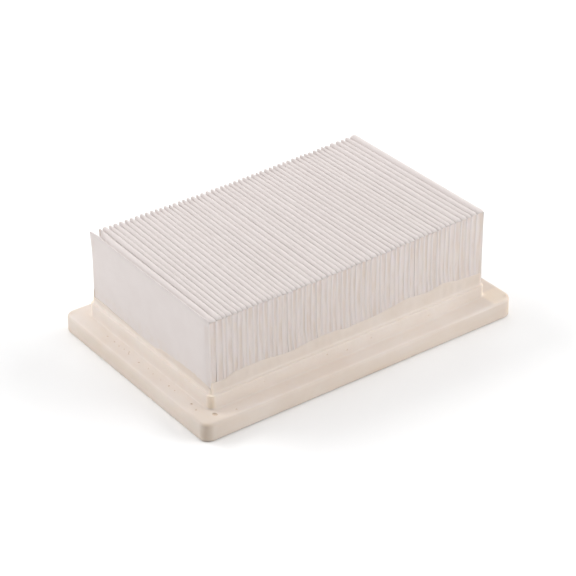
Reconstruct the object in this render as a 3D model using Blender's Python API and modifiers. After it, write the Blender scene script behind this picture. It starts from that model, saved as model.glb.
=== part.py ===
"""A flat air filter: one pleated sheet of filter medium, potted in a cast resin frame.

Metres, +Z up. The origin is the middle of the frame's seating face, on the underside.
X runs along the long side, across the folds. Y runs along the folds.
"""

import math

import bmesh
import bpy

OBJECT_NAME = "air_filter"

# Frame: a wide flange that the housing clamps, a collar on it, and a thin band round the pack
FLANGE_LENGTH = 0.210
FLANGE_WIDTH = 0.140
FLANGE_HEIGHT = 0.0104
FLANGE_CORNER_RADIUS = 0.006
FLANGE_EDGE_RADIUS = 0.0018
COLLAR_INSET = 0.0106
COLLAR_HEIGHT = 0.0086
COLLAR_CORNER_RADIUS = 0.0016
COLLAR_EDGE_RADIUS = 0.0004
LEDGE_WIDTH = 0.0014
BAND_HEIGHT = 0.006
BAND_WALL = 0.0006
LIP_WIDTH = 0.004
WINDOW_CORNER_RADIUS = 0.001

# Pack: the folded sheet
PACK_BOTTOM = 0.006
PLEAT_HEIGHT = 0.059
PLEAT_PITCH = 0.0033
SHEET_THICKNESS = 0.0005

# Adhesive on the clean side of the sheet, folded in with it
SEAL_WIDTH = 0.003
SEAL_SETBACK = 0.0005
SPACER_COUNT = 4
SPACER_WIDTH = 0.0015
BEAD_THICKNESS = 0.0008

# Space between neighbours, and the smoothness of what is round
GAP = 0.0003
CORNER_SEGMENTS = 6
EDGE_SEGMENTS = 3
FOLD_SEGMENTS = 4
CUT_MARGIN = 0.002
TINY = 1e-6

# Levels and sizes that follow from the ones above
COLLAR_TOP = FLANGE_HEIGHT + COLLAR_HEIGHT
BAND_TOP = COLLAR_TOP + BAND_HEIGHT
PACK_TOP = PACK_BOTTOM + PLEAT_HEIGHT
BEAD_TOP = PACK_BOTTOM - GAP
BEAD_BOTTOM = BEAD_TOP - BEAD_THICKNESS
LIP_TOP = BEAD_BOTTOM - GAP
PACK_INSET = COLLAR_INSET + LEDGE_WIDTH + BAND_WALL + GAP
PACK_LENGTH = FLANGE_LENGTH - 2 * PACK_INSET
PACK_WIDTH = FLANGE_WIDTH - 2 * PACK_INSET

# The pitch is trimmed so that whole pleats fill the pack; each pleat is two leaves
PLEAT_COUNT = round(PACK_LENGTH / PLEAT_PITCH)
LEAF_COUNT = 2 * PLEAT_COUNT
LEAF_SPACING = (PACK_LENGTH - SHEET_THICKNESS) / (LEAF_COUNT - 1)
FOLD_RADIUS = LEAF_SPACING / 2
TOOTH_HALF_WIDTH = (LEAF_SPACING - SHEET_THICKNESS) / 2 - GAP


def clear_scene():
    for old in list(bpy.data.objects):
        bpy.data.objects.remove(old, do_unlink=True)


def new_collection(name):
    collection = bpy.data.collections.new(name)
    bpy.context.scene.collection.children.link(collection)
    return collection


def principled(name, colour, roughness, metallic=0.0):
    material = bpy.data.materials.new(name)
    material.use_nodes = True
    shader = material.node_tree.nodes["Principled BSDF"]
    shader.inputs["Base Color"].default_value = (*colour, 1.0)
    shader.inputs["Roughness"].default_value = roughness
    shader.inputs["Metallic"].default_value = metallic
    return material


def bevel(shape, edges, radius, segments):
    bmesh.ops.bevel(
        shape,
        geom=edges,
        offset=radius,
        offset_type="OFFSET",
        affect="EDGES",
        segments=segments,
        profile=0.5,
        material=-1,
    )


def rounded_block(name, collection, length, width, bottom, top, corner_radius=0.0, edge_radius=0.0):
    """A block centred on Z, with rounded upright corners and a rounded top rim."""
    shape = bmesh.new()
    bmesh.ops.create_cube(shape, size=1.0)
    bmesh.ops.scale(shape, vec=(length, width, top - bottom), verts=shape.verts)
    bmesh.ops.translate(shape, vec=(0, 0, (top + bottom) / 2), verts=shape.verts)
    if corner_radius:
        uprights = [e for e in shape.edges if abs(e.verts[0].co.z - e.verts[1].co.z) > TINY]
        bevel(shape, uprights, corner_radius, CORNER_SEGMENTS)
    if edge_radius:
        rim = [e for e in shape.edges if all(abs(v.co.z - top) < TINY for v in e.verts)]
        bevel(shape, rim, edge_radius, EDGE_SEGMENTS)
    mesh = bpy.data.meshes.new(name)
    shape.to_mesh(mesh)
    shape.free()
    block = bpy.data.objects.new(name, mesh)
    collection.objects.link(block)
    return block


def as_tool(block):
    """Marks a block that only shapes another piece."""
    block.hide_render = True
    block.display_type = "WIRE"
    return block


def combine(piece, tool, operation):
    modifier = piece.modifiers.new(f"{operation.lower()} {tool.name}", "BOOLEAN")
    modifier.operation = operation
    modifier.solver = "EXACT"
    modifier.object = tool


def make_moulded_frame(parts, tools):
    """Flange, collar and band in one casting, open in the middle, with a lip under the pack."""
    frame = rounded_block(
        "moulded_frame",
        parts,
        FLANGE_LENGTH,
        FLANGE_WIDTH,
        0.0,
        FLANGE_HEIGHT,
        FLANGE_CORNER_RADIUS,
        FLANGE_EDGE_RADIUS,
    )
    collar = rounded_block(
        "collar_block",
        tools,
        FLANGE_LENGTH - 2 * COLLAR_INSET,
        FLANGE_WIDTH - 2 * COLLAR_INSET,
        FLANGE_HEIGHT / 2,
        COLLAR_TOP,
        COLLAR_CORNER_RADIUS,
        COLLAR_EDGE_RADIUS,
    )
    band = rounded_block(
        "band_block",
        tools,
        PACK_LENGTH + 2 * (GAP + BAND_WALL),
        PACK_WIDTH + 2 * (GAP + BAND_WALL),
        FLANGE_HEIGHT / 2,
        BAND_TOP,
        BAND_WALL,
    )
    pocket = rounded_block(
        "pack_pocket",
        tools,
        PACK_LENGTH + 2 * GAP,
        PACK_WIDTH + 2 * GAP,
        LIP_TOP,
        BAND_TOP + CUT_MARGIN,
    )
    window = rounded_block(
        "clean_air_window",
        tools,
        PACK_LENGTH - 2 * LIP_WIDTH,
        PACK_WIDTH - 2 * LIP_WIDTH,
        -CUT_MARGIN,
        LIP_TOP + CUT_MARGIN,
        WINDOW_CORNER_RADIUS,
    )
    combine(frame, as_tool(collar), "UNION")
    combine(frame, as_tool(band), "UNION")
    combine(frame, as_tool(pocket), "DIFFERENCE")
    combine(frame, as_tool(window), "DIFFERENCE")
    frame.data.materials.append(principled("cast_resin", (0.76, 0.66, 0.55), 0.55))
    return frame


def leaf_x(leaf):
    """Where the centre of a leaf stands, counted from the first one."""
    return (leaf - (LEAF_COUNT - 1) / 2) * LEAF_SPACING


def fold_line():
    """Centre line of the sheet seen from its side, from the foot of one end leaf to the other."""
    low = PACK_BOTTOM + SHEET_THICKNESS / 2 + FOLD_RADIUS
    high = PACK_TOP - SHEET_THICKNESS / 2 - FOLD_RADIUS
    points = [(leaf_x(0), PACK_BOTTOM)]
    for leaf in range(LEAF_COUNT - 1):
        is_tip = leaf % 2 == 0
        middle = (leaf_x(leaf) + leaf_x(leaf + 1)) / 2
        for step in range(FOLD_SEGMENTS + 1):
            turn = math.pi * step / FOLD_SEGMENTS
            rise = FOLD_RADIUS * math.sin(turn)
            height = high + rise if is_tip else low - rise
            points.append((middle - FOLD_RADIUS * math.cos(turn), height))
    points.append((leaf_x(LEAF_COUNT - 1), PACK_BOTTOM))
    return points


def make_pleated_medium(parts):
    """One sheet, folded up and down, thickened from its middle surface."""
    shape = bmesh.new()
    row = [shape.verts.new((x, -PACK_WIDTH / 2, z)) for x, z in fold_line()]
    edges = [shape.edges.new(pair) for pair in zip(row, row[1:])]
    swept = bmesh.ops.extrude_edge_only(shape, edges=edges)["geom"]
    far_row = [item for item in swept if isinstance(item, bmesh.types.BMVert)]
    bmesh.ops.translate(shape, vec=(0, PACK_WIDTH, 0), verts=far_row)
    mesh = bpy.data.meshes.new("pleated_medium")
    shape.to_mesh(mesh)
    shape.free()
    sheet = bpy.data.objects.new("pleated_medium", mesh)
    parts.objects.link(sheet)
    thickness = sheet.modifiers.new("thickness", "SOLIDIFY")
    thickness.thickness = SHEET_THICKNESS
    thickness.offset = 0.0
    thickness.use_even_offset = True
    sheet.data.materials.append(principled("filter_fleece", (0.78, 0.74, 0.71), 0.9))
    return sheet


def bead_outline():
    """A bead seen from its side: a foot under the bottom folds, and a tooth up inside each pleat."""
    tooth_top = PACK_TOP - SHEET_THICKNESS / 2 - FOLD_RADIUS
    centres = [leaf_x(2 * pleat) + FOLD_RADIUS for pleat in range(PLEAT_COUNT)]
    points = [(centres[0] - TOOTH_HALF_WIDTH, BEAD_BOTTOM), (centres[-1] + TOOTH_HALF_WIDTH, BEAD_BOTTOM)]
    for centre in reversed(centres):
        right = centre + TOOTH_HALF_WIDTH
        left = centre - TOOTH_HALF_WIDTH
        if centre != centres[-1]:
            points.append((right, BEAD_TOP))
        points.append((right, tooth_top))
        points.append((left, tooth_top))
        if centre != centres[0]:
            points.append((left, BEAD_TOP))
    return points


def make_bead(name, parts, y, width, material):
    """A line of adhesive laid across the folds, as a flat outline with the bead's own width."""
    outline = bpy.data.curves.new(name, "CURVE")
    outline.dimensions = "2D"
    outline.fill_mode = "BOTH"
    outline.extrude = width / 2
    points = bead_outline()
    spline = outline.splines.new("POLY")
    spline.points.add(len(points) - 1)
    for point, (x, z) in zip(spline.points, points):
        point.co = (x, z, 0.0, 1.0)
    spline.use_cyclic_u = True
    bead = bpy.data.objects.new(name, outline)
    bead.location = (0.0, y, 0.0)
    bead.rotation_euler = (math.pi / 2, 0.0, 0.0)
    bead.data.materials.append(material)
    parts.objects.link(bead)
    return bead


def make_edge_seals(parts):
    """Adhesive that closes the ends of the pleats along both edges of the sheet."""
    material = principled("edge_adhesive", (0.74, 0.62, 0.45), 0.4)
    reach = PACK_WIDTH / 2 - SEAL_SETBACK - SEAL_WIDTH / 2
    return [
        make_bead("edge_seal_front", parts, -reach, SEAL_WIDTH, material),
        make_bead("edge_seal_back", parts, reach, SEAL_WIDTH, material),
    ]


def make_spacer_beads(parts):
    """Threads of hot-melt, evenly spread between the edge seals, that hold the pleats apart."""
    material = principled("hot_melt", (0.82, 0.79, 0.72), 0.35)
    spread = PACK_WIDTH / (SPACER_COUNT + 1)
    beads = []
    for number in range(1, SPACER_COUNT + 1):
        y = number * spread - PACK_WIDTH / 2
        beads.append(make_bead(f"spacer_bead_{number}", parts, y, SPACER_WIDTH, material))
    return beads


def build():
    clear_scene()
    parts = new_collection(OBJECT_NAME)
    tools = new_collection(f"{OBJECT_NAME}_tools")
    origin = bpy.data.objects.new(OBJECT_NAME, None)
    parts.objects.link(origin)
    pieces = [make_moulded_frame(parts, tools), make_pleated_medium(parts)]
    pieces += make_edge_seals(parts)
    pieces += make_spacer_beads(parts)
    for piece in pieces:
        piece.parent = origin


build()
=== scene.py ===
import bisect
import math
import random

import bmesh
import bpy
from mathutils import Matrix, Vector, noise


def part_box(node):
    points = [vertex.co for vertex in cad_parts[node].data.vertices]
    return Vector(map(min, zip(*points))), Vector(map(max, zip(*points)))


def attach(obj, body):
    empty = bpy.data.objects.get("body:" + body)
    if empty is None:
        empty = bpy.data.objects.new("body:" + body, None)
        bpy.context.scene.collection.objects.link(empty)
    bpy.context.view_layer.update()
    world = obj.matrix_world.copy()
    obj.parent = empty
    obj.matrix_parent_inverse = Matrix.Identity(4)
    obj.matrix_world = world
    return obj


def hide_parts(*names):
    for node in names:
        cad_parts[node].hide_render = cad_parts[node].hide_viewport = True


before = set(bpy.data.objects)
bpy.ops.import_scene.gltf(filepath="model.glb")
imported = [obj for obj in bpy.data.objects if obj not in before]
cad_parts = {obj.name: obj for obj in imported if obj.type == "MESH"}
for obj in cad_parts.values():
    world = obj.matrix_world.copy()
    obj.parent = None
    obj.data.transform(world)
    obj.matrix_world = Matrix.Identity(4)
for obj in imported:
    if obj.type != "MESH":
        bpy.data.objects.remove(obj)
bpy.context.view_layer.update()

mm = 0.001
cadLow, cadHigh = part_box("moulded_frame")
packLow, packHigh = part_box("pleated_medium")


def smooth(low, high, value):
    # 0 below low, 1 above high, and an S between them
    t = min(max((value - low) / (high - low), 0.0), 1.0)
    return t * t * (3.0 - 2.0 * t)


def mix(a, b, t):
    return a + (b - a) * t


def along(points, value):
    # height of a drawn line at value, eased between its points
    places = [place for place, _ in points]
    right = min(max(bisect.bisect_right(places, value), 1), len(points) - 1)
    (x0, y0), (x1, y1) = points[right - 1], points[right]
    return mix(y0, y1, smooth(x0, x1, value))


def ripple(x, y, z, seed=0.0):
    # soft noise between about -1 and 1
    return noise.noise(Vector((x + seed * 17.3, y - seed * 9.1, z + seed * 4.7)))


class Value:
    # a shader socket that can be used in sums
    def __init__(self, graph, socket):
        self.graph = graph
        self.socket = socket

    def maths(self, operation, *others):
        return self.graph.add("ShaderNodeMath", {"operation": operation}, dict(enumerate(others)))

    def __add__(self, other):
        return self.maths("ADD", self, other)

    def __radd__(self, other):
        return self.maths("ADD", other, self)

    def __sub__(self, other):
        return self.maths("SUBTRACT", self, other)

    def __rsub__(self, other):
        return self.maths("SUBTRACT", other, self)

    def __mul__(self, other):
        return self.maths("MULTIPLY", self, other)

    def __rmul__(self, other):
        return self.maths("MULTIPLY", other, self)

    def size(self):
        return self.maths("ABSOLUTE", self)


class Graph:
    # one material; a pattern reads the piece's own coordinates, so its lengths are metres
    def __init__(self, name, constants):
        self.material = bpy.data.materials.new(name)
        self.material.use_nodes = True
        self.nodes = self.material.node_tree.nodes
        self.links = self.material.node_tree.links
        self.shader = self.nodes["Principled BSDF"]
        for socketName, value in constants.items():
            self.shader.inputs[socketName].default_value = value
        self.place = Value(self, self.nodes.new("ShaderNodeTexCoord").outputs["Object"])

    def add(self, kind, settings=None, inputs=None, output=0):
        node = self.nodes.new(kind)
        for key, value in (settings or {}).items():
            setattr(node, key, value)
        for key, value in (inputs or {}).items():
            if isinstance(value, Value):
                self.links.new(value.socket, node.inputs[key])
            else:
                node.inputs[key].default_value = value
        return Value(self, node.outputs[output])

    def stretched(self, scale, turn=(0.0, 0.0, 0.0)):
        inputs = {"Vector": self.place, "Rotation": turn, "Scale": scale}
        return self.add("ShaderNodeMapping", {}, inputs)

    def clouds(self, scale, detail=3.0, rough=0.5, vector=None):
        inputs = {"Vector": vector or self.place, "Scale": scale, "Detail": detail, "Roughness": rough}
        return self.add("ShaderNodeTexNoise", {}, inputs)

    def between(self, value, low, high):
        inputs = {"Value": value, "From Min": low, "From Max": high}
        return self.add("ShaderNodeMapRange", {"interpolation_type": "SMOOTHSTEP"}, inputs)

    def blend(self, factor, first, second, way="MIX"):
        inputs = {0: factor}
        for socket, colour in ((6, first), (7, second)):  # the two colour sockets of a Mix node
            inputs[socket] = colour if isinstance(colour, Value) else (*colour, 1.0)
        return self.add("ShaderNodeMix", {"data_type": "RGBA", "blend_type": way}, inputs, 2)

    def axis(self, letter):
        return self.add("ShaderNodeSeparateXYZ", {}, {"Vector": self.place}, "XYZ".index(letter))

    def rise(self, letter, low, high):
        # from 0 to 1 between two places along an axis, in millimetres
        return self.between(self.axis(letter), low * mm, high * mm)

    def apart(self, letter, low, high):
        # the same on both sides of the middle
        return self.between(self.axis(letter).size(), low * mm, high * mm)

    def feed(self, socketName, value):
        self.links.new(value.socket, self.shader.inputs[socketName])

    def relief(self, height, strength, distance):
        inputs = {"Strength": strength, "Distance": distance, "Height": height}
        self.feed("Normal", self.add("ShaderNodeBump", {}, inputs))


def placedGrid(columns, rows, place):
    # a flat grid whose vertex in column i and row j goes to place(i, j)
    sheet = bmesh.new()
    bmesh.ops.create_grid(sheet, x_segments=columns - 1, y_segments=rows - 1, size=1.0)
    sheet.verts.ensure_lookup_table()
    for index, vert in enumerate(sheet.verts):
        vert.co = place(index % columns, index // columns)
    return sheet


def finished(name, shape, material, sharpAngle=40.0):
    mesh = bpy.data.meshes.new(name)
    shape.to_mesh(mesh)
    shape.free()
    mesh.shade_smooth()
    mesh.set_sharp_from_angle(angle=math.radians(sharpAngle))
    mesh.materials.append(material)
    piece = bpy.data.objects.new(name, mesh)
    bpy.context.scene.collection.objects.link(piece)
    return piece


def applyModifiers(piece):
    graph = bpy.context.evaluated_depsgraph_get()
    mesh = bpy.data.meshes.new_from_object(piece.evaluated_get(graph))
    piece.modifiers.clear()
    old = piece.data
    piece.data = mesh
    bpy.data.meshes.remove(old)


def addPiece(piece, slotName, *nodes):
    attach(piece, "root")
    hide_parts(*nodes)


view = {
    "azimuth": -36.26,
    "elevation": 31.32,
    "roll": -0.32,
    "distance": 1.138,
    "aim": (-0.0028, -0.0031, 0.0246),
    "lens": 128.05,
}


def facing(azimuth, elevation):
    # the direction out to a camera or lamp, and the turn that makes it look back at the filter
    around, up = math.radians(azimuth), math.radians(elevation)
    back = Vector((math.sin(around) * math.cos(up), -math.cos(around) * math.cos(up), math.sin(up)))
    return back, back.to_track_quat("Z", "Y").to_matrix().to_4x4()


def addCamera():
    back, turn = facing(view["azimuth"], view["elevation"])
    turn = turn @ Matrix.Rotation(math.radians(view["roll"]), 4, "Z")
    data = bpy.data.cameras.new("camera")
    data.lens = view["lens"]
    data.sensor_width = 36.0
    data.clip_start = 0.01
    camera = bpy.data.objects.new("camera", data)
    camera.matrix_world = Matrix.Translation(Vector(view["aim"]) + back * view["distance"]) @ turn
    bpy.context.scene.collection.objects.link(camera)
    bpy.context.scene.camera = camera


studio = {
    "worldColour": (1.0, 1.0, 1.0, 1.0),
    "worldStrength": 1.0,
    "floorColour": (0.9, 0.9, 0.9, 1.0),
    "floorSize": 3.2,
    "floorDrop": 0.2 * mm,
}
# round lamps, as (azimuth, elevation, distance, size, power)
lamps = {
    "highLeft": (-90.0, 58.0, 1.6, 1.4, 2.8),
    "left": (-110.0, 22.0, 1.7, 1.2, 8.5),
    "leftBehind": (-150.0, 35.0, 1.7, 1.2, 19.7),
    "right": (40.0, 22.0, 1.7, 1.2, 20.9),
    "rightBehind": (85.0, 32.0, 1.7, 1.2, 12.1),
    "highRight": (40.0, 58.0, 1.6, 1.4, 1.1),
    "behind": (150.0, 45.0, 1.6, 1.2, 5.6),
    "top": (0.0, 88.0, 1.6, 1.4, 5.1),
}


def addLamp(name, azimuth, elevation, distance, size, power):
    back, turn = facing(azimuth, elevation)
    data = bpy.data.lights.new(name, "AREA")
    data.shape = "DISK"
    data.size = size
    data.energy = power
    lamp = bpy.data.objects.new(name, data)
    lamp.matrix_world = Matrix.Translation(back * distance) @ turn
    bpy.context.scene.collection.objects.link(lamp)


def addStudio():
    world = bpy.data.worlds.new("studio")
    world.use_nodes = True
    background = world.node_tree.nodes["Background"]
    background.inputs["Color"].default_value = studio["worldColour"]
    background.inputs["Strength"].default_value = studio["worldStrength"]
    bpy.context.scene.world = world
    for ray in ("diffuse", "glossy", "transmission", "scatter"):  # a pale backdrop that gives no light
        setattr(world.cycles_visibility, ray, False)
    for name, settings in lamps.items():
        addLamp(name, *settings)
    paint = Graph("floorPaint", {"Base Color": studio["floorColour"], "Roughness": 0.9})
    shape = bmesh.new()
    bmesh.ops.create_grid(shape, x_segments=1, y_segments=1, size=studio["floorSize"] / 2)
    bmesh.ops.translate(shape, vec=(0.0, 0.0, -studio["floorDrop"]), verts=shape.verts)
    floor = finished("floor", shape, paint.material)
    bpy.context.scene.view_settings.view_transform = "Standard"
    bpy.context.scene.view_settings.look = "None"


casting = {
    "length": cadHigh.x - cadLow.x,
    "width": cadHigh.y - cadLow.y,
    "cornerSteps": 10,
    "longSteps": 168,
    "shortSteps": 106,
    "cornerRadius": 6.1 * mm,
    "flangeTop": 10.4 * mm,
    "edgeRadius": 1.9 * mm,
    "collarInset": 10.6 * mm,
    "collarFillet": 0.9 * mm,
    "ledgeHeight": 19.0 * mm,
    "packInset": 12.9 * mm,
    "windowInset": 16.9 * mm,
    "rightFlangeOut": 0.8 * mm,
    "rightCollarIn": 0.9 * mm,
    "rightLift": 1.7 * mm,
    "sharpAngle": 35.0,
    "cream": (0.733, 0.646, 0.578),
    "pale": (0.762, 0.69, 0.636),
    "warm": (0.69, 0.583, 0.49),
    "speck": (0.66, 0.5, 0.36),
    # painted shade on the flange's sides and edge rounding, its near corner, its rounded corners and its
    # right end, painted light on the collar corners, the band's own darker tone, and the bubbles' tint
    "paintedSideShade": (0.905, 0.885, 0.86),
    "bandTint": (0.905, 0.89, 0.875),
    "paintedCollarCornerLight": (1.2, 1.17, 1.08),
    "paintedNearCornerShade": (0.845, 0.83, 0.805),
    "paintedFlangeCornerShade": (0.8, 0.745, 0.67),
    "paintedRightEndShade": (0.82, 0.8, 0.78),
    "bubbleTint": (0.93, 0.87, 0.8),
}

# how far the resin crept up the pack above the ledge, as (place along the side, height)
creepFront = [
    (-93 * mm, 6.6 * mm), (-85 * mm, 5.9 * mm), (-76 * mm, 8.2 * mm), (-62 * mm, 8.4 * mm),
    (-43 * mm, 6.6 * mm), (-22 * mm, 8.1 * mm), (-12 * mm, 8.1 * mm), (0 * mm, 6.8 * mm),
    (16 * mm, 7.4 * mm), (39 * mm, 9.7 * mm), (53 * mm, 8.7 * mm), (64 * mm, 10.2 * mm),
    (79 * mm, 8.1 * mm), (93 * mm, 7.4 * mm),
]
creepLeft = [
    (-58 * mm, 2.2 * mm), (-50 * mm, 5.4 * mm), (-42 * mm, 6.4 * mm), (-22 * mm, 4.8 * mm),
    (-12 * mm, 4.0 * mm), (-4 * mm, 1.4 * mm), (10 * mm, 2.0 * mm), (28 * mm, 2.7 * mm),
    (46 * mm, 3.5 * mm), (58 * mm, 3.1 * mm),
]
# the band's curve up the pack, as (share of the creep, share of the way in)
bandCurve = [
    (0.04, 0.2), (0.1, 0.36), (0.2, 0.5), (0.35, 0.62), (0.52, 0.72), (0.7, 0.8), (0.86, 0.88), (0.96, 0.96),
]


def ringSpot(step, inset, radius):
    # a point on a rounded rectangle inset from the flange's outline; the counts are fixed, so rings line up
    halfX = casting["length"] / 2 - inset
    halfY = casting["width"] / 2 - inset
    corner = casting["cornerSteps"]
    sides = (casting["longSteps"], casting["shortSteps"]) * 2
    corners = ((1, -1), (1, 1), (-1, 1), (-1, -1))
    starts = ((-1, -1), (1, -1), (1, 1), (-1, 1))
    step %= sum(sides) + 4 * corner
    for side in range(4):
        run = sides[side]
        sx, sy = starts[side]
        ex, ey = corners[side]
        if step < run:
            t = step / run
            if side % 2 == 0:
                x = mix(sx * (halfX - radius), ex * (halfX - radius), t)
                return x, sy * halfY
            y = mix(sy * (halfY - radius), ey * (halfY - radius), t)
            return sx * halfX, y
        step -= run
        if step < corner:
            turn = math.radians(-90 + 90 * side + 90 * step / corner)
            x = ex * (halfX - radius) + radius * math.cos(turn)
            y = ey * (halfY - radius) + radius * math.sin(turn)
            return x, y
        step -= corner


def creep(x, y):
    # resin height above the ledge at this place round the pack; the far sides reuse the near ones' lines
    onLongSide = abs(y) - cadHigh.y > abs(x) - cadHigh.x
    if onLongSide and y < 0:
        height = along(creepFront, x)
    elif onLongSide:
        height = along(creepFront, -0.8 * x) - 0.6 * mm
    elif x < 0:
        height = along(creepLeft, y)
    else:
        height = along(creepLeft, -0.9 * y) + 1.2 * mm
    waves = 0.35 * mm * ripple(x * 160, y * 160, 0.0, 2)
    return height + waves + 0.12 * mm * ripple(x * 700, y * 700, 0.0, 3)


def arcStations(inset, height, radius, startTurn, endTurn, steps):
    # a quarter round in the section: centre at (inset, height)
    for step in range(steps + 1):
        turn = math.radians(mix(startTurn, endTurn, step / steps))
        yield inset - radius * math.cos(turn), height + radius * math.sin(turn)


def castingSection():
    # (inset, height, corner radius, share of the creep) from the window, round the outside, to the window
    top, edge = casting["flangeTop"], casting["edgeRadius"]
    collar, fillet, ledge = casting["collarInset"], casting["collarFillet"], casting["ledgeHeight"]
    pack, window, corner = casting["packInset"], casting["windowInset"], casting["cornerRadius"]
    faceInner, faceOuter = window + 0.3 * mm, 0.9 * mm
    stations = [(faceInner, 0.0, 1.2 * mm, 0.0)]
    for t in (0.02, 0.5, 0.98):  # seating face
        stations.append((mix(faceInner, faceOuter, t), 0.0, mix(1.2 * mm, 5.4 * mm, t), 0.0))
    stations += [  # lower edge and side of the flange
        (faceOuter, 0.0, 5.4 * mm, 0.0),
        (0.3 * mm, 0.25 * mm, 5.8 * mm, 0.0),
        (0.0, 0.95 * mm, corner, 0.0),
        (0.05 * mm, 3.0 * mm, corner, 0.0),
        (0.12 * mm, 6.0 * mm, 6.0 * mm, 0.0),
    ]
    for inset, height in arcStations(edge + 0.15 * mm, top - edge, edge, 0, 90, 6):
        stations.append((inset, height, corner - 0.75 * inset, 0.0))
    for t in (0.1, 0.5, 0.9, 1.0):  # top of the flange
        inset = mix(edge + 0.4 * mm, collar - 1.2 * mm, t)
        stations.append((inset, top, mix(4.5 * mm, 2.6 * mm, t), 0.0))
    for step in range(1, 5):  # hollow fillet at the collar's foot
        turn = math.radians(90 * step / 4)
        inset = collar - fillet + fillet * math.sin(turn)
        stations.append((inset, top + fillet - fillet * math.cos(turn), 3.8 * mm, 0.0))
    stations += [  # wall of the collar
        (collar + 0.05 * mm, top + 3.0 * mm, 3.6 * mm, 0.0),
        (collar + 0.12 * mm, ledge - 1.2 * mm, 3.5 * mm, 0.0),
    ]
    for inset, height in arcStations(collar + 0.62 * mm, ledge - 0.5 * mm, 0.5 * mm, 0, 90, 4):
        stations.append((inset, height, 3.3 * mm, 0.0))
    foot = collar + 1.25 * mm
    stations += [  # foot of the band
        (foot - 0.35 * mm, ledge + 0.02 * mm, 2.7 * mm, 0.0),
        (foot - 0.1 * mm, ledge + 0.1 * mm, 2.3 * mm, 0.0),
    ]
    for share, run in bandCurve:
        inset = mix(foot, pack - 0.1 * mm, run)
        stations.append((inset, ledge + 0.12 * mm, mix(2.1 * mm, 0.8 * mm, run), share))
    stations += [  # down behind the faces of the pack, over the lip that it stands on, and to the window
        (pack + 0.02 * mm, ledge + 0.12 * mm, 0.7 * mm, 1.0),
        (pack + 0.5 * mm, ledge - 0.05 * mm, 0.5 * mm, 1.0),
        (pack + 1.4 * mm, ledge - 0.6 * mm, 0.4 * mm, 1.0),
        (pack + 1.5 * mm, ledge - 6.0 * mm, 0.4 * mm, 0.0),
        (pack + 1.6 * mm, 6.3 * mm, 0.6 * mm, 0.0),
        (pack + 2.4 * mm, 5.3 * mm, 0.8 * mm, 0.0),
        (window - 0.5 * mm, 4.7 * mm, 1.0 * mm, 0.0),
        (window, 4.2 * mm, 1.0 * mm, 0.0),
        (window, 2.2 * mm, 1.0 * mm, 0.0),
        (window, 0.35 * mm, 1.0 * mm, 0.0),
        stations[0],
    ]
    return stations


# small open bubbles, in millimetres
bubbles = {
    "seed": 11,
    "rowPlace": -98.3,
    "row": (34, 27, 22, 18, 12, 1.5, -6.5, -12, -19, -26.5, -32),
    # single ones beside the row and at the near corner, as (x, y, radius, stretch)
    "single": [
        (-97.4, 13.6, 0.6, 1.0), (-98.1, -47.6, 0.65, 1.2), (-99.4, -53.5, 0.6, 1.0),
        (-93.8, -62.6, 1.35, 1.3), (-82.2, -65.5, 0.55, 1.3),
    ],
    # strays, along lines this far from the middle: how far they reach and how far they wander off them
    "strays": 34,
    "strayEnds": 99.5,
    "straySides": 64.8,
    "strayReach": (100, 66),
    "strayWander": 2.6,
    # shallow ones in the front wall of the collar, as (x, height, radius)
    "wall": [
        (11.6, 15.0, 0.45), (-4.8, 13.7, 0.5), (-18.4, 16.0, 0.55), (52.0, 14.2, 0.35), (-60.0, 15.4, 0.3),
    ],
    "flatness": 0.42,
}


def flangeBubbles():
    # (x, y, radius, stretch): the row on the left, the single ones, and strays on the right, back and front
    rng = random.Random(bubbles["seed"])
    spots = []
    wander = bubbles["strayWander"]
    reachX, reachY = bubbles["strayReach"]
    for y in bubbles["row"]:
        x = bubbles["rowPlace"] + rng.uniform(-0.5, 0.5)
        spots.append((x, y + rng.uniform(-0.4, 0.4), rng.uniform(0.42, 0.62), 1.0))
    spots += bubbles["single"]
    for number in range(bubbles["strays"]):
        share = rng.uniform(-0.94, 0.94)
        if number % 2:
            x, y = bubbles["strayEnds"] + rng.uniform(-wander, wander), reachY * share
        else:
            x, y = reachX * share, bubbles["straySides"] + rng.uniform(-wander, wander)
            if number % 4 == 0 and number < 12:
                y = -y
        spots.append((x, y, rng.uniform(0.18, 0.5), rng.uniform(0.8, 1.3)))
    return spots


def addBubble(shape, radius, stretch, turn, middle):
    ball = bmesh.ops.create_icosphere(shape, subdivisions=2, radius=radius * mm)["verts"]
    bmesh.ops.scale(shape, vec=stretch, verts=ball)
    bmesh.ops.rotate(shape, matrix=Matrix.Rotation(turn, 3, "Z"), verts=ball)
    bmesh.ops.translate(shape, vec=middle, verts=ball)


def makeBubbles():
    shape = bmesh.new()
    top = casting["flangeTop"] / mm
    for x, y, radius, stretch in flangeBubbles():
        middle = (x * mm, y * mm, (top - 0.05 * radius) * mm)
        addBubble(shape, radius, (1.0, stretch, bubbles["flatness"]), x * 0.7, middle)
    wall = cadLow.y + casting["collarInset"] + 0.08 * mm
    for x, z, radius in bubbles["wall"]:
        addBubble(shape, radius, (1.3, 0.5, 0.8), 0.0, (x * mm, wall - 0.05 * mm, z * mm))
    return shape


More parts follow.
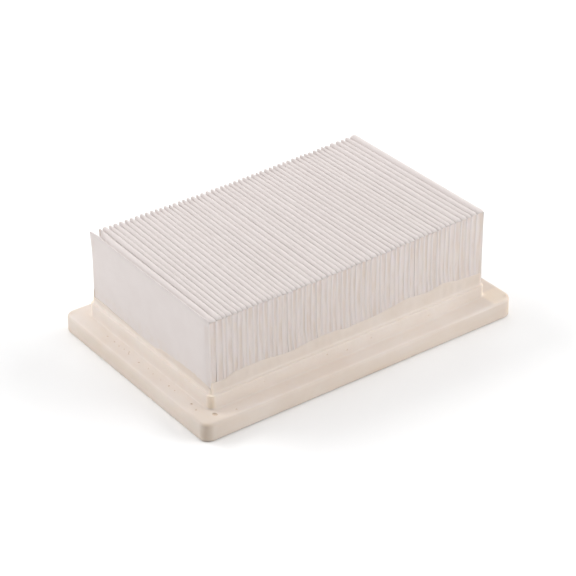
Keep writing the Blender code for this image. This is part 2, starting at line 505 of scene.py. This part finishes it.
def resinMaterial(name, tint):
    paint = Graph(name, {
        "Roughness": 0.6, "Specular IOR Level": 0.15, "Subsurface Weight": 0.12,
        "Subsurface Radius": (0.004, 0.0028, 0.0018), "Subsurface Scale": 0.5,
    })
    blotches = paint.clouds(38.0, 4.0, 0.55)
    grain = paint.clouds(420.0, 4.0, 0.6)
    streaks = paint.clouds(26.0, 3.0, 0.5, paint.stretched((0.25, 0.25, 2.2)))
    specks = paint.between(paint.clouds(900.0, 2.0, 0.5), 0.66, 0.78)
    colour = paint.blend(paint.between(blotches, 0.35, 0.7), casting["cream"], casting["pale"])
    colour = paint.blend(paint.between(streaks, 0.52, 0.78) * 0.55, colour, casting["warm"])
    colour = paint.blend(specks * 0.25, colour, casting["speck"])
    # painted shade darkens the flange's sides and edge rounding, below the flange top
    aboveSides = paint.rise("Z", 9.7, 10.38)
    band = paint.rise("Z", 19.3, 21.0)
    # painted light lifts the shaded collar corners
    collarCorner = paint.apart("X", 90.0, 93.0) * paint.apart("Y", 55.0, 58.0) * paint.rise("Z", 10.8, 12.0)
    # painted shade on the flange top at the near corner
    nearCorner = paint.rise("X", -84.0, -99.0) * paint.rise("Y", -46.0, -62.0) * paint.rise("Z", 11.2, 10.6)
    # painted shade on the flange's rounded corners
    flangeCorner = paint.apart("X", 98.5, 103.5) * paint.apart("Y", 63.5, 68.5)
    # painted shade on the right end
    rightEnd = paint.rise("X", 60.0, 102.0)
    shade = paint.blend(aboveSides, casting["paintedSideShade"], (1.0, 1.0, 1.0))
    shade = paint.blend(band, shade, casting["bandTint"])
    shade = paint.blend(collarCorner, shade, casting["paintedCollarCornerLight"])
    shade = paint.blend(nearCorner, shade, casting["paintedNearCornerShade"])
    shade = paint.blend(flangeCorner * 0.9, shade, casting["paintedFlangeCornerShade"])
    shade = paint.blend(rightEnd * 0.5, shade, casting["paintedRightEndShade"])
    colour = paint.blend(1.0, colour, shade, "MULTIPLY")
    paint.feed("Base Color", paint.blend(1.0, colour, tint, "MULTIPLY"))
    paint.feed("Roughness", 0.56 + grain * 0.2)
    paint.relief(grain * 0.6 + blotches * 0.8, 0.35, 0.0002)
    return paint.material


def makeFrame(material, pitMaterial):
    section = castingSection()
    around = 2 * (casting["longSteps"] + casting["shortSteps"]) + 4 * casting["cornerSteps"]

    def place(i, j):
        inset, height, radius, share = section[j]
        x, y = ringSpot(i, inset, radius)
        rightEnd = smooth(48 * mm, 104 * mm, x)
        if inset < 13 * mm:  # the right end is a little longer and higher, with its collar further in
            inwards = smooth(2 * mm, 10 * mm, inset)
            x += mix(casting["rightFlangeOut"], -casting["rightCollarIn"], inwards) * rightEnd
            lift = casting["rightLift"] * rightEnd
            height += lift * smooth(6.0 * mm, 9.5 * mm, height) * smooth(19 * mm, 12 * mm, height)
        if share > 0:
            height += share * creep(x, y)
        if 0 < share < 1:  # the band follows the pleats behind it a little
            push = 0.16 * mm * ripple(x * 330, y * 330, height * 90, 5) * math.sin(math.pi * share)
            x += push * (1 if abs(x) > abs(y) * 1.6 else 0)
            y += push * (1 if abs(x) <= abs(y) * 1.6 else 0)
        return Vector((x, y, height))

    shape = placedGrid(around + 1, len(section), place)
    bmesh.ops.remove_doubles(shape, verts=shape.verts, dist=0.002 * mm)
    bmesh.ops.recalc_face_normals(shape, faces=shape.faces)
    piece = finished("resin_frame", shape, material, casting["sharpAngle"])
    balls = finished("bubbles", makeBubbles(), pitMaterial)
    cut = piece.modifiers.new("bubbles", "BOOLEAN")
    cut.operation = "DIFFERENCE"
    cut.solver = "EXACT"
    cut.object = balls
    piece.data.materials.append(pitMaterial)
    applyModifiers(piece)
    bpy.data.objects.remove(balls)
    piece.data.shade_smooth()
    piece.data.set_sharp_from_angle(angle=math.radians(casting["sharpAngle"]))
    addPiece(piece, "cast_resin", "moulded_frame")
    print("resin frame:", len(piece.data.polygons), "faces")


pleats = {
    "count": 56,
    "thickness": 0.6 * mm,
    "flatTop": 0.58,
    "flatEnd": 0.36,
    "bottom": packLow.z,
    "topLeft": 63.7 * mm,
    "topRight": 67.0 * mm,
    "tipSteps": 7,
    "footSteps": 4,
    "halfWidth": (packHigh.y - packLow.y) / 2,
    "meanTop": 64.5 * mm,
    "sharpAngle": 60.0,
    # the tips drop towards their front and back ends, by so much over so much
    "frontDrop": (0.9 * mm, 2.4 * mm),
    "backDrop": (0.3 * mm, 1.0 * mm),
    # gaps at the ends, and the free leaf
    "tightGap": 0.02 * mm,
    "pinchGap": 0.22 * mm,
    "backTipGap": 1.8 * mm,
    "freeLeafLean": 2.1 * mm,
    "freeLeafGap": 3.5 * mm,
    "freeLeafBow": 0.35 * mm,
    "fleece": (0.645, 0.588, 0.57),
    "softFleece": (0.66, 0.606, 0.588),
    "felt": (0.675, 0.616, 0.59),
    "soaked": (0.632, 0.552, 0.51),
    "resinPatch": (0.64, 0.545, 0.47),
    # painted shade for the tips of the pleats
    "tips": (0.52, 0.466, 0.45),
}
# where neighbouring folds meet along the middle of the top, in millimetres, from beside the free leaf
valleys = [
    -91.4, -86.1, -82.3, -79.5, -75.8, -72.6, -69.3, -66.2, -62.8, -59.6, -56.2, -53.0, -50.0, -47.0,
    -43.8, -41.1, -37.8, -34.7, -31.6, -28.8, -25.2, -22.3, -18.5, -14.9, -12.0, -8.5, -5.6, -2.2,
    0.7, 3.9, 7.3, 10.6, 13.7, 17.4, 20.0, 23.4, 26.8, 29.7, 33.1, 36.3, 39.5, 42.8,
    46.0, 49.3, 52.4, 55.1, 58.5, 61.5, 64.7, 67.5, 71.3, 75.5, 79.2, 82.5, 86.5, 91.7,
]
tipEdge = [-92.4 * mm] + [place * mm for place in valleys]
# how far the folds run askew, as (place along the pack, drift per length)
askew = [
    (-93 * mm, 0.008), (-86 * mm, 0.025), (-65 * mm, 0.037), (-38 * mm, 0.037), (-20 * mm, 0.03),
    (8 * mm, 0.022), (20 * mm, 0.007), (30 * mm, 0.004), (93 * mm, 0.0),
]
footSpacing = (packHigh.x - packLow.x - pleats["thickness"]) / (2 * pleats["count"] - 2)
firstFoot = packLow.x + pleats["thickness"] / 2
footEdge = [firstFoot + footSpacing * (2 * k - 1.5) for k in range(pleats["count"] + 1)]
pleatRandom = random.Random(23)
pleatLift = [pleatRandom.gauss(0.0, 0.12 * mm) for _ in range(pleats["count"])]
middleGap = [pleatRandom.uniform(0.08, 0.24) * mm for _ in range(pleats["count"] + 1)]


def endGaps():
    # most ends are pressed together, a few stay apart
    gaps = []
    for _ in range(pleats["count"] + 1):
        apart = pleatRandom.random()
        if apart < 0.2:
            gap = pleatRandom.uniform(0.0, 0.03)
        elif apart < 0.88:
            gap = pleatRandom.uniform(0.02, 0.06)
        else:
            gap = pleatRandom.uniform(0.14, 0.24)
        gaps.append(gap * mm)
    return gaps


endGap = [endGaps(), endGaps()]
endBack = [[pleatRandom.uniform(0.0, 0.05) * mm for _ in range(2 * pleats["count"])] for _ in range(2)]
endDrift = [[pleatRandom.gauss(0.0, 0.13) * mm for _ in range(pleats["count"] + 1)] for _ in range(2)]
endPinch = [[pleatRandom.random() ** 2.2 for _ in range(pleats["count"] + 1)] for _ in range(2)]


def topLine(x):
    # height of the tips along the pack
    share = smooth(-40 * mm, 118 * mm, x) / smooth(-40 * mm, 118 * mm, 90 * mm)
    return mix(pleats["topLeft"], pleats["topRight"], share)


def crest(k, y):
    # top of pleat k at y
    middle = (tipEdge[k] + tipEdge[k + 1]) / 2
    height = topLine(middle) + pleatLift[k] + 0.05 * mm * ripple(k * 3.1, y * 25, 0.0, 7)
    fromEnd = pleats["halfWidth"] - abs(y)
    drop, run = pleats["frontDrop"] if y < 0 else pleats["backDrop"]
    return height - drop * max(0.0, 1.0 - fromEnd / run) ** 2


def capRise(y, half):
    # the rounded top of a fold is flatter where it turns over the front edge
    atFront = smooth(4 * mm, 0.5 * mm, y + pleats["halfWidth"])
    return half * mix(pleats["flatTop"], pleats["flatEnd"], atFront)


def meeting(k, y, z):
    # place and width of the gap between pleat k - 1 and pleat k
    side = 0 if y < 0 else 1
    rise = smooth(4 * mm, 40 * mm, z)
    nearEnd = smooth(8 * mm, 0.8 * mm, pleats["halfWidth"] - abs(y))
    place = mix(footEdge[k], tipEdge[k] + along(askew, tipEdge[k]) * y, rise)
    if 0 < k < pleats["count"]:
        place += 0.07 * mm * ripple(k * 2.7, y * 22, z * 14, 8) * rise
        place += nearEnd * rise * (endDrift[side][k] + 0.1 * mm * ripple(k * 5.3, z * 28, side * 9.0, 9))
    atEnd = endGap[side][k] + pleats["pinchGap"] * endPinch[side][k] * smooth(38 * mm, 25 * mm, z)
    if side == 0 and k < 3:  # the first folds are tight at the front
        atEnd = pleats["tightGap"]
    if side == 1:  # the tips spread a little at the back
        atEnd += pleats["backTipGap"] * smooth(50 * mm, 63 * mm, z)
    gap = mix(middleGap[k], atEnd, nearEnd)
    if k == 1:  # the free leaf stands away from the first fold, most of all at the back
        apart = smooth(16 * mm, 1 * mm, pleats["halfWidth"] - y) * smooth(22 * mm, 52 * mm, z)
        place += pleats["freeLeafLean"] * apart
        gap += 0.25 * mm * (1.0 - nearEnd) + pleats["freeLeafGap"] * apart
    if k == pleats["count"]:
        gap = 0.0
    return place, mix(footSpacing - pleats["thickness"], gap, smooth(9 * mm, 24 * mm, z))


def fold(k, y, z):
    # centre of pleat k and half the distance between its two leaves
    leftEdge, leftGap = meeting(k, y, z)
    rightEdge, rightGap = meeting(k + 1, y, z)
    left = leftEdge + (leftGap + pleats["thickness"]) / 2
    right = rightEdge - (rightGap + pleats["thickness"]) / 2
    return (left + right) / 2, (right - left) / 2


def leafPlace(leaf, y, z):
    # where this leaf stands along the pack: pleat k has leaves 2k and 2k + 1, and leaf 1 is the free one
    centre, half = fold(leaf // 2, y, z)
    x = centre - half if leaf % 2 == 0 else centre + half
    if leaf == 1:  # the free leaf bows out a little and turns in at the front edge
        bow = math.sin(math.pi * min(max((z - 20 * mm) / (50 * mm), 0.0), 1.0))
        x -= pleats["freeLeafBow"] * bow * (1.0 - 0.6 * (y / pleats["halfWidth"]) ** 2)
        x += pleats["freeLeafBow"] * smooth(4 * mm, 0.0, y + pleats["halfWidth"])
    return x


def sheetPath():
    # one row of the sheet as (kind, leaf, share): up a leaf, over a tip, down a leaf, round a foot
    shares = [0.0, 0.06, 0.16, 0.26, 0.34, 0.42, 0.52, 0.66, 0.82, 1.0]
    path = []
    leaves = 2 * pleats["count"]
    for leaf in range(1, leaves):
        order = shares if leaf % 2 == 0 else shares[::-1]
        path += [("leaf", leaf, share) for share in order]
        steps = pleats["tipSteps"] if leaf % 2 == 0 else pleats["footSteps"]
        if leaf < leaves - 1:
            path += [("turn", leaf, step / steps) for step in range(1, steps)]
    return path


def sheetRows():
    # places across the sheet, closer together at its two edges
    fromEdge = [0.0, 0.35, 0.8, 1.4, 2.4, 4.0, 6.5, 10.0, 17.0, 27.0, 40.0, 57.1]
    inner = [pleats["halfWidth"] - d * mm for d in fromEdge]
    inner[-1] = 0.0
    return [-y for y in inner[:-1]] + inner[::-1]


def turnPlace(leaf, y, share):
    # a point of the fold that follows this leaf: a tip after an even one, a foot after an odd one
    if leaf % 2 == 0:
        k = leaf // 2
        top = crest(k, y) - pleats["thickness"] / 2
        _, half = fold(k, y, top - 1.2 * mm)
        turn = math.pi * (1.0 - share)
        rise = capRise(y, half)
        left = leafPlace(leaf, y, top - rise)
        right = leafPlace(leaf + 1, y, top - rise)
        centre = (left + right) / 2
        half = (right - left) / 2
        return centre + half * math.cos(turn), top - rise + rise * math.sin(turn)
    left = leafPlace(leaf, y, pleats["bottom"] + 1 * mm)
    right = leafPlace(leaf + 1, y, pleats["bottom"] + 1 * mm)
    radius = (right - left) / 2
    turn = math.pi * (1.0 + share)
    z = pleats["bottom"] + pleats["thickness"] / 2 + radius * (1 + math.sin(turn))
    return (left + right) / 2 + radius * math.cos(turn), z


def fleeceMaterial():
    paint = Graph("filterFleece", {
        "Roughness": 0.92, "Specular IOR Level": 0.2, "Sheen Weight": 0.2, "Sheen Roughness": 0.6,
    })
    softer = paint.between(paint.clouds(70.0, 4.0, 0.6), 0.35, 0.68)
    colour = paint.blend(softer, pleats["fleece"], pleats["softFleece"])
    fibres = paint.clouds(1.0, 4.0, 0.7, paint.stretched((2600.0, 420.0, 420.0), (0.0, 0.0, 0.5)))
    across = paint.clouds(1.0, 4.0, 0.7, paint.stretched((500.0, 500.0, 2600.0), (0.6, 0.2, 0.0)))
    felt = paint.clouds(1500.0, 5.0, 0.75)
    colour = paint.blend(paint.between(felt, 0.55, 0.75) * 0.22, colour, pleats["felt"])
    # adhesive soaks a little into the two edges below the tips, unevenly from pleat to pleat
    soaked = paint.apart("Y", 52.9, 54.2) * paint.rise("Z", 61.5, 58.5)
    uneven = paint.between(paint.clouds(1.0, 2.0, 0.5, paint.stretched((330.0, 60.0, 45.0))), 0.42, 0.66)
    colour = paint.blend(soaked * (0.12 + uneven * 0.35), colour, pleats["soaked"])
    # a little resin in patches low down, and painted shade on the tips of the pleats
    low = 1.0 - paint.rise("Z", 24.0, 33.0)
    patches = paint.between(paint.clouds(240.0, 3.0, 0.6), 0.4, 0.7)
    colour = paint.blend(low * patches * 0.3, colour, pleats["resinPatch"])
    colour = paint.blend(paint.rise("Z", 61.0, 63.5) * 0.24, colour, pleats["tips"])
    paint.feed("Base Color", colour)
    paint.relief(fibres * 0.5 + across * 0.5 + felt * 0.8, 0.35, 0.00012)
    return paint.material


def makeSheet(material):
    path, rows = sheetPath(), sheetRows()
    bottom = pleats["bottom"] + pleats["thickness"] / 2 + footSpacing / 2

    def place(i, j):
        kind, leaf, share = path[i]
        y = rows[j]
        edge = j in (0, len(rows) - 1)
        if kind == "turn":
            x, z = turnPlace(leaf, y, share)
        else:
            _, top = turnPlace(leaf - leaf % 2, y, 0.0)
            if leaf == 1:
                top = crest(0, y)
            low = pleats["bottom"] if leaf == 2 * pleats["count"] - 1 else bottom
            z = mix(low, top, share)
            x = leafPlace(leaf, y, z)
        if edge:
            leafBack = endBack[0 if y < 0 else 1][leaf]
            y -= math.copysign(leafBack * smooth(12 * mm, 24 * mm, z), y)
        return Vector((x, y, z))

    shape = placedGrid(len(path), len(rows), place)
    bmesh.ops.recalc_face_normals(shape, faces=shape.faces)
    piece = finished("pleated_sheet", shape, material, pleats["sharpAngle"])
    thickness = piece.modifiers.new("thickness", "SOLIDIFY")
    thickness.thickness = pleats["thickness"]
    thickness.offset = 0.0
    applyModifiers(piece)
    piece.data.set_sharp_from_angle(angle=math.radians(pleats["sharpAngle"]))
    addPiece(piece, "filter_fleece", "pleated_medium")
    print("pleated sheet:", len(piece.data.polygons), "faces")


seal = {
    "width": 3.0 * mm,
    "spacerWidth": 1.5 * mm,
    "footThickness": 0.8 * mm,
    "footSag": 0.3 * mm,
    "spacerSag": 0.35 * mm,
    "sharpAngle": 50.0,
    # colour, deeper colour and roughness of the adhesive at the edges and of the threads
    "glue": ((0.65, 0.582, 0.55), (0.60, 0.515, 0.462), 0.75),
    "melt": ((0.84, 0.81, 0.73), (0.80, 0.74, 0.62), 0.3),
}


def adhesiveMaterial(name, colour, deep, roughness):
    paint = Graph(name, {
        "Roughness": roughness, "Subsurface Weight": 0.3, "Subsurface Radius": (0.003, 0.002, 0.001),
    })
    patches = paint.between(paint.clouds(1.0, 3.0, 0.5, paint.stretched((420.0, 120.0, 60.0))), 0.38, 0.66)
    paint.feed("Base Color", paint.blend(patches, colour, deep))
    paint.relief(paint.clouds(700.0, 3.0, 0.5), 0.4, 0.0002)
    return paint.material


def toothInto(shape, k, yOuter, yInner, tuck):
    # fills fold k between its leaves over this stretch of y: a closed column that rounds off under the fold
    levels = [0.0, 0.12, 0.24, 0.36, 0.48, 0.6, 0.7, 0.8, 0.88, 0.94]
    arch = [0.0, 0.35, 0.6, 0.8, 0.92, 0.985]
    sides = (-1, 0, 1, 1, -1, -1)  # three columns outside, two inside, and the first again
    low = pleats["bottom"] - 0.25 * mm
    halfThick = pleats["thickness"] / 2
    rows = 2 + len(levels) + len(arch)
    tube = bmesh.ops.create_grid(shape, x_segments=len(sides) - 1, y_segments=rows - 1, size=1.0)["verts"]
    for index, vert in enumerate(tube):
        column, row = index % len(sides), index // len(sides)
        outer = column in (0, 1, 2, 5)
        y = yOuter if outer else yInner
        roof = crest(k, y) - halfThick
        _, wide = fold(k, y, roof - 1.2 * mm)
        rise = capRise(y, wide)
        spring = roof - rise
        if row == 0 or row == rows - 1:  # the ends draw together in one point
            z = low if row == 0 else roof - halfThick - 0.01 * mm
            middle, _ = fold(k, yOuter, z)
            vert.co = Vector((middle, (yOuter + yInner) / 2, z))
            continue
        bend = arch[row - 1 - len(levels)] if row > len(levels) else 0.0
        if row <= len(levels):
            z = mix(low, spring, levels[row - 1])
        else:
            z = spring + bend * max(rise - halfThick, 0.1 * mm)
        middle, half = fold(k, y, min(z, spring))
        inner = half - halfThick + 0.02 * mm
        if z > spring:
            inner *= max(math.sqrt(1.0 - bend ** 2), 0.1)
        if outer:
            y += math.copysign(tuck(z) + (0.07 * mm if column == 1 else 0.0), yInner - yOuter)
        vert.co = Vector((middle + inner * sides[column], y, z))


def closeTeeth(shape):
    # joins each column's edges, and tags it so that footInto leaves it alone
    bmesh.ops.remove_doubles(shape, verts=shape.verts, dist=0.0001 * mm)
    for vert in shape.verts:
        vert.tag = True


def footInto(shape, y, width, sag):
    # the thread under the bottom folds, sagging up a little between them
    count = 4 * pleats["count"]
    first, last = footEdge[0] + 0.2 * mm, footEdge[-1] - 0.2 * mm
    bmesh.ops.create_cone(shape, cap_ends=True, segments=10, radius1=0.5, radius2=0.5, depth=1.0)
    fresh = [edge for edge in shape.edges if not edge.verts[0].tag]
    lengthwise = [edge for edge in fresh if abs(edge.verts[0].co.z - edge.verts[1].co.z) > 0.5]
    bmesh.ops.subdivide_edges(shape, edges=lengthwise, cuts=count)
    for vert in shape.verts:
        if vert.tag:
            continue
        across, up, share = vert.co.x, vert.co.y, vert.co.z + 0.5
        x = mix(first, last, share)
        phase = (x - footEdge[0]) / (2 * footSpacing) - 0.5
        lift = sag * 0.5 * (1.0 + math.cos(2 * math.pi * phase))
        swell = 1.0 + 0.14 * ripple(x * 260, y * 40, 0.0, 12)
        wander = 0.12 * mm * ripple(x * 60, y * 80, 0.0, 13)
        z = pleats["bottom"] - 0.42 * mm + lift + up * seal["footThickness"] * swell
        vert.co = Vector((x, y + across * width * swell + wander, z))
        vert.tag = True


def makeSeal(name, node, side, material):
    # the adhesive that closes the folds along one edge: side 0 is the front and 1 the back
    sign = -1 if side == 0 else 1
    shape = bmesh.new()
    for k in range(1, pleats["count"]):
        back = (endBack[side][2 * k] + endBack[side][2 * k + 1]) / 2

        def tuck(z):
            deep = 0.05 * mm + 0.06 * mm * ripple(k * 4.1, z * 90, side * 3.0, 14)
            if k == 1 and side == 0:  # the first fold never quite closed near the resin
                deep += 0.2 * mm * smooth(42 * mm, 34 * mm, z)
            return max(deep, 0.0)

        outer = sign * (pleats["halfWidth"] - back)
        inner = sign * (pleats["halfWidth"] - seal["width"])
        toothInto(shape, k, outer, inner, tuck)
    closeTeeth(shape)
    middle = sign * (pleats["halfWidth"] - seal["width"] / 2 - 0.3 * mm)
    footInto(shape, middle, seal["width"] * 0.9, seal["footSag"])
    bmesh.ops.recalc_face_normals(shape, faces=shape.faces)
    piece = finished(name, shape, material, seal["sharpAngle"])
    addPiece(piece, "edge_adhesive", node)


def makeSpacer(number, material):
    # a thread across the folds, with a tooth up into each of them
    low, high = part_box(f"spacer_bead_{number}")
    y = (low.y + high.y) / 2
    shape = bmesh.new()
    half = seal["spacerWidth"] / 2
    for k in range(1, pleats["count"]):
        toothInto(shape, k, y - half, y + half, lambda z: 0.0)
    closeTeeth(shape)
    footInto(shape, y, seal["spacerWidth"], seal["spacerSag"])
    bmesh.ops.recalc_face_normals(shape, faces=shape.faces)
    piece = finished(f"spacer_thread_{number}", shape, material, seal["sharpAngle"])
    addPiece(piece, "hot_melt", f"spacer_bead_{number}")


addCamera()
addStudio()
print("camera and studio ready")
makeFrame(resinMaterial("castResin", (1.0, 1.0, 1.0)), resinMaterial("pitResin", casting["bubbleTint"]))
makeSheet(fleeceMaterial())
edgeGlue = adhesiveMaterial("edgeAdhesive", *seal["glue"])
makeSeal("edge_adhesive_front", "edge_seal_front", 0, edgeGlue)
makeSeal("edge_adhesive_back", "edge_seal_back", 1, edgeGlue)
print("edge adhesive done")
hotMelt = adhesiveMaterial("hotMelt", *seal["melt"])
for beadNumber in range(1, 5):
    makeSpacer(beadNumber, hotMelt)
print("spacer threads done")
